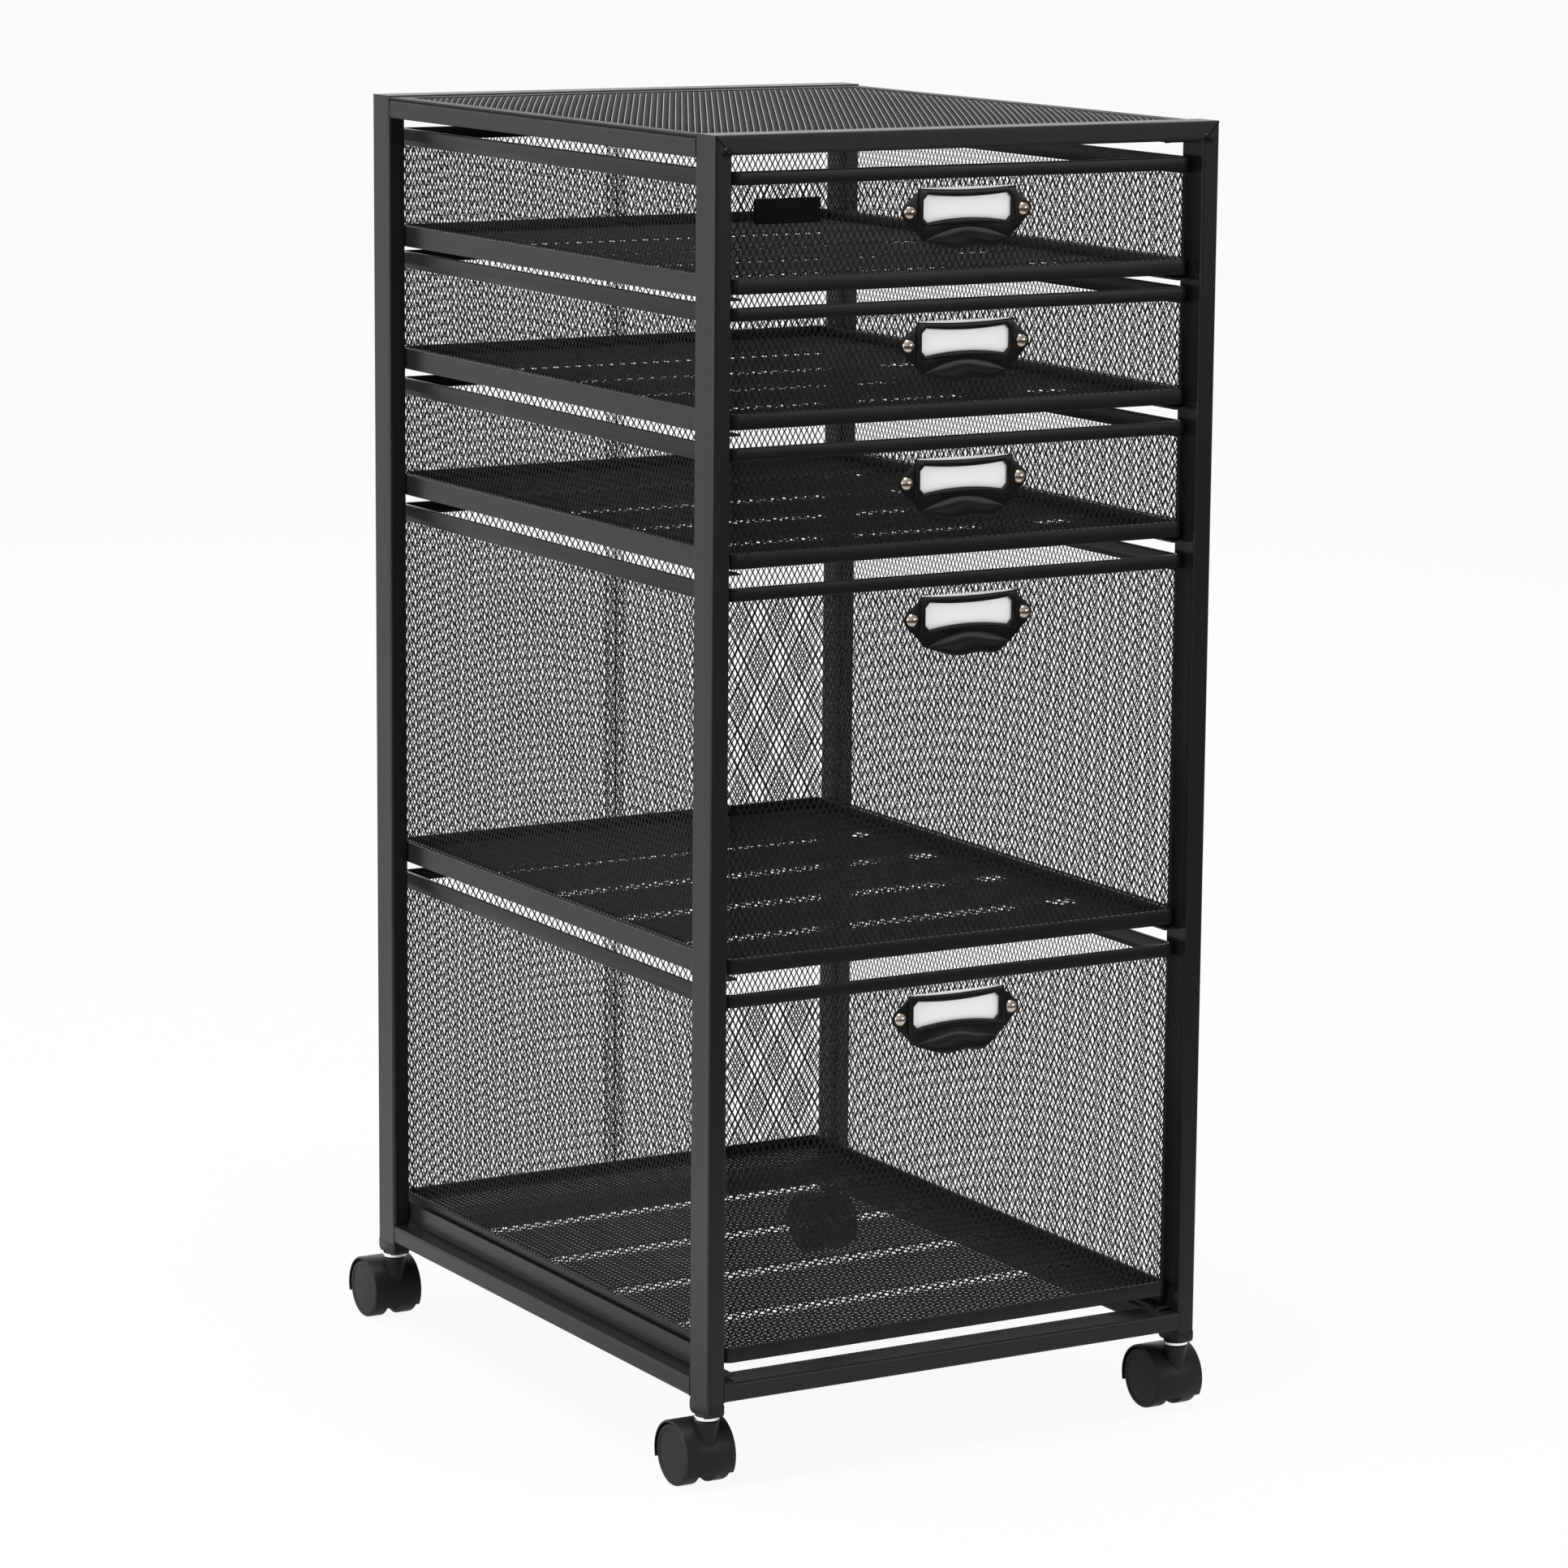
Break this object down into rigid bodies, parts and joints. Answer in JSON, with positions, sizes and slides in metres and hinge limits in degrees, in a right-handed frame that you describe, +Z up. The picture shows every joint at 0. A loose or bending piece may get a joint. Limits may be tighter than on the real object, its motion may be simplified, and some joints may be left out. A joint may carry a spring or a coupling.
{
  "type": "rolling mesh drawer cart",
  "caption": "Open steel-tube drawer cart on swivel casters, with shallow mesh drawers over deep mesh file drawers, label pulls and a mesh top panel.",
  "frame": {"origin": "on the floor under the middle of the whole cart, casters and pulls included", "axes": "+Z up, +X to the right as seen from the front, -Y out of the front, the way the drawers open"},
  "size_m": [0.3018, 0.3856, 0.6565],
  "materials": {
    "frame_paint": "fine-grained satin powder coat",
    "drawer_paint": "fine-grained satin powder coat",
    "mesh_paint": "powder-coated expanded metal",
    "pull_paint": "smooth semi-gloss paint",
    "card": "uncoated white card",
    "rivet_metal": "satin, slightly worn",
    "badge_plastic": "matte",
    "caster_plastic": "satin moulded plastic",
    "wheel_plastic": "matte moulded plastic",
    "axle_steel": "bright",
    "zinc_steel": "zinc plated"
  },
  "bodies": {
    "frame": {"front_left_post": "frame_paint", "front_right_post": "frame_paint", "rear_left_post": "frame_paint", "rear_right_post": "frame_paint", "top_rails": "frame_paint", "bottom_rails": "frame_paint", "corner_bosses": "frame_paint", "top_mesh": "mesh_paint", "top_mesh_hem": "mesh_paint", "runners_left": "frame_paint", "runners_right": "frame_paint", "post_sockets": "caster_plastic", "caster_stems": "zinc_steel"},
    "drawer_1": {"drawer_1_rims": "drawer_paint", "drawer_1_walls": "mesh_paint", "drawer_1_floor": "mesh_paint", "drawer_1_label_pull": "pull_paint", "drawer_1_label_card": "card", "drawer_1_rivets": "rivet_metal", "badge_plate": "badge_plastic"},
    "drawer_2": {"drawer_2_rims": "drawer_paint", "drawer_2_walls": "mesh_paint", "drawer_2_floor": "mesh_paint", "drawer_2_label_pull": "pull_paint", "drawer_2_label_card": "card", "drawer_2_rivets": "rivet_metal"},
    "drawer_3": {"drawer_3_rims": "drawer_paint", "drawer_3_walls": "mesh_paint", "drawer_3_floor": "mesh_paint", "drawer_3_label_pull": "pull_paint", "drawer_3_label_card": "card", "drawer_3_rivets": "rivet_metal"},
    "drawer_4": {"drawer_4_rims": "drawer_paint", "drawer_4_walls": "mesh_paint", "drawer_4_floor": "mesh_paint", "drawer_4_label_pull": "pull_paint", "drawer_4_label_card": "card", "drawer_4_rivets": "rivet_metal"},
    "drawer_5": {"drawer_5_rims": "drawer_paint", "drawer_5_walls": "mesh_paint", "drawer_5_floor": "mesh_paint", "drawer_5_label_pull": "pull_paint", "drawer_5_label_card": "card", "drawer_5_rivets": "rivet_metal"},
    "front_left_caster": {"front_left_caster_housing": "caster_plastic", "front_left_caster_axle": "axle_steel"},
    "front_left_wheel_a": {"front_left_caster_wheel_a": "wheel_plastic"},
    "front_left_wheel_b": {"front_left_caster_wheel_b": "wheel_plastic"},
    "front_right_caster": {"front_right_caster_housing": "caster_plastic", "front_right_caster_axle": "axle_steel"},
    "front_right_wheel_a": {"front_right_caster_wheel_a": "wheel_plastic"},
    "front_right_wheel_b": {"front_right_caster_wheel_b": "wheel_plastic"},
    "rear_left_caster": {"rear_left_caster_housing": "caster_plastic", "rear_left_caster_axle": "axle_steel"},
    "rear_left_wheel_a": {"rear_left_caster_wheel_a": "wheel_plastic"},
    "rear_left_wheel_b": {"rear_left_caster_wheel_b": "wheel_plastic"},
    "rear_right_caster": {"rear_right_caster_housing": "caster_plastic", "rear_right_caster_axle": "axle_steel"},
    "rear_right_wheel_a": {"rear_right_caster_wheel_a": "wheel_plastic"},
    "rear_right_wheel_b": {"rear_right_caster_wheel_b": "wheel_plastic"}
  },
  "joints": [
    {"name": "drawer_1_slide", "type": "slide", "parent": "frame", "child": "drawer_1", "axis": [0, -1, 0], "range_m": [0, 0.27]},
    {"name": "drawer_2_slide", "type": "slide", "parent": "frame", "child": "drawer_2", "axis": [0, -1, 0], "range_m": [0, 0.27]},
    {"name": "drawer_3_slide", "type": "slide", "parent": "frame", "child": "drawer_3", "axis": [0, -1, 0], "range_m": [0, 0.27]},
    {"name": "drawer_4_slide", "type": "slide", "parent": "frame", "child": "drawer_4", "axis": [0, -1, 0], "range_m": [0, 0.27]},
    {"name": "drawer_5_slide", "type": "slide", "parent": "frame", "child": "drawer_5", "axis": [0, -1, 0], "range_m": [0, 0.27]},
    {"name": "front_left_swivel", "type": "hinge", "parent": "frame", "child": "front_left_caster", "pos_m": [-0.13725, -0.179, 0.0335], "axis": [0, 0, 1], "continuous": true},
    {"name": "front_left_wheel_a_spin", "type": "hinge", "parent": "front_left_caster", "child": "front_left_wheel_a", "pos_m": [-0.13725, -0.1675, 0.0155], "axis": [1, 0, 0], "continuous": true},
    {"name": "front_left_wheel_b_spin", "type": "hinge", "parent": "front_left_caster", "child": "front_left_wheel_b", "pos_m": [-0.13725, -0.1675, 0.0155], "axis": [1, 0, 0], "continuous": true},
    {"name": "front_right_swivel", "type": "hinge", "parent": "frame", "child": "front_right_caster", "pos_m": [0.13725, -0.179, 0.0335], "axis": [0, 0, 1], "continuous": true},
    {"name": "front_right_wheel_a_spin", "type": "hinge", "parent": "front_right_caster", "child": "front_right_wheel_a", "pos_m": [0.13725, -0.1675, 0.0155], "axis": [1, 0, 0], "continuous": true},
    {"name": "front_right_wheel_b_spin", "type": "hinge", "parent": "front_right_caster", "child": "front_right_wheel_b", "pos_m": [0.13725, -0.1675, 0.0155], "axis": [1, 0, 0], "continuous": true},
    {"name": "rear_left_swivel", "type": "hinge", "parent": "frame", "child": "rear_left_caster", "pos_m": [-0.13725, 0.164, 0.0335], "axis": [0, 0, 1], "continuous": true},
    {"name": "rear_left_wheel_a_spin", "type": "hinge", "parent": "rear_left_caster", "child": "rear_left_wheel_a", "pos_m": [-0.13725, 0.1755, 0.0155], "axis": [1, 0, 0], "continuous": true},
    {"name": "rear_left_wheel_b_spin", "type": "hinge", "parent": "rear_left_caster", "child": "rear_left_wheel_b", "pos_m": [-0.13725, 0.1755, 0.0155], "axis": [1, 0, 0], "continuous": true},
    {"name": "rear_right_swivel", "type": "hinge", "parent": "frame", "child": "rear_right_caster", "pos_m": [0.13725, 0.164, 0.0335], "axis": [0, 0, 1], "continuous": true},
    {"name": "rear_right_wheel_a_spin", "type": "hinge", "parent": "rear_right_caster", "child": "rear_right_wheel_a", "pos_m": [0.13725, 0.1755, 0.0155], "axis": [1, 0, 0], "continuous": true},
    {"name": "rear_right_wheel_b_spin", "type": "hinge", "parent": "rear_right_caster", "child": "rear_right_wheel_b", "pos_m": [0.13725, 0.1755, 0.0155], "axis": [1, 0, 0], "continuous": true}
  ]
}
